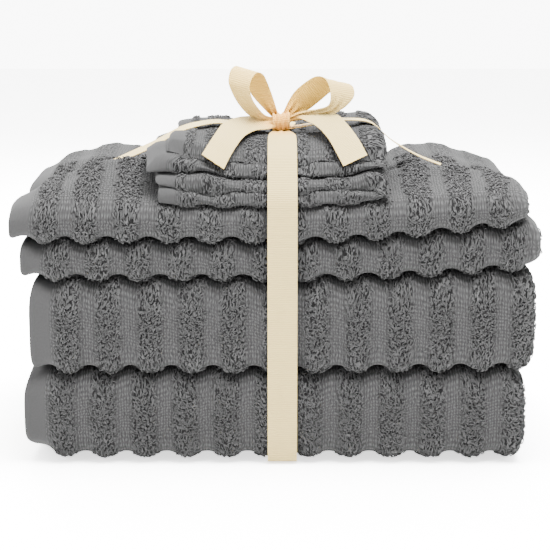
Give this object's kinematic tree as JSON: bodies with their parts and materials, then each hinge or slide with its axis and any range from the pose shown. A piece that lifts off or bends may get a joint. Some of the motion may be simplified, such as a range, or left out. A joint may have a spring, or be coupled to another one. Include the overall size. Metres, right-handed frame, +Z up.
{
  "type": "bath towel set",
  "caption": "Gift-tied stack of folded ribbed terry bath towels, hand towels and washcloths, bound both ways with a flat ribbon that ends in a bow on top.",
  "frame": {"origin": "middle of the bounding box, on the face that the stack rests on", "axes": "+X to the right along the folded length of the towels, +Y to the back, +Z up; the front, with the bow's tails, faces -Y"},
  "size_m": [0.3652, 0.2304, 0.2642],
  "materials": {
    "terry": "matte",
    "ribbon": "satin"
  },
  "bodies": {
    "stack": {"bath_towel_lower": "terry", "bath_towel_upper": "terry", "hand_towel_lower": "terry", "hand_towel_upper": "terry", "washcloth_lower": "terry", "washcloth_upper": "terry", "ribbon_front_to_back": "ribbon", "ribbon_side_to_side": "ribbon", "bow_knot": "ribbon"},
    "loop_left": {"bow_loop_left": "ribbon"},
    "loop_right": {"bow_loop_right": "ribbon"},
    "tail_left": {"bow_tail_left": "ribbon"},
    "tail_right": {"bow_tail_right": "ribbon"}
  },
  "joints": [
    {"name": "loop_left_flop", "type": "hinge", "parent": "stack", "child": "loop_left", "pos_m": [0.005, -0.032, 0.2264], "axis": [0, 1, 0], "range_deg": [-12, 12], "stiffness_Nm_per_rad": 0.006},
    {"name": "loop_right_flop", "type": "hinge", "parent": "stack", "child": "loop_right", "pos_m": [0.005, -0.032, 0.2264], "axis": [0, 1, 0], "range_deg": [-22, 6], "stiffness_Nm_per_rad": 0.006},
    {"name": "tail_left_lift", "type": "hinge", "parent": "stack", "child": "tail_left", "pos_m": [0.005, -0.032, 0.2264], "axis": [-0.766, 0.6428, 0], "range_deg": [0, 15]},
    {"name": "tail_right_lift", "type": "hinge", "parent": "stack", "child": "tail_right", "pos_m": [0.005, -0.032, 0.2264], "axis": [-0.7431, -0.6691, 0], "range_deg": [0, 15]}
  ]
}
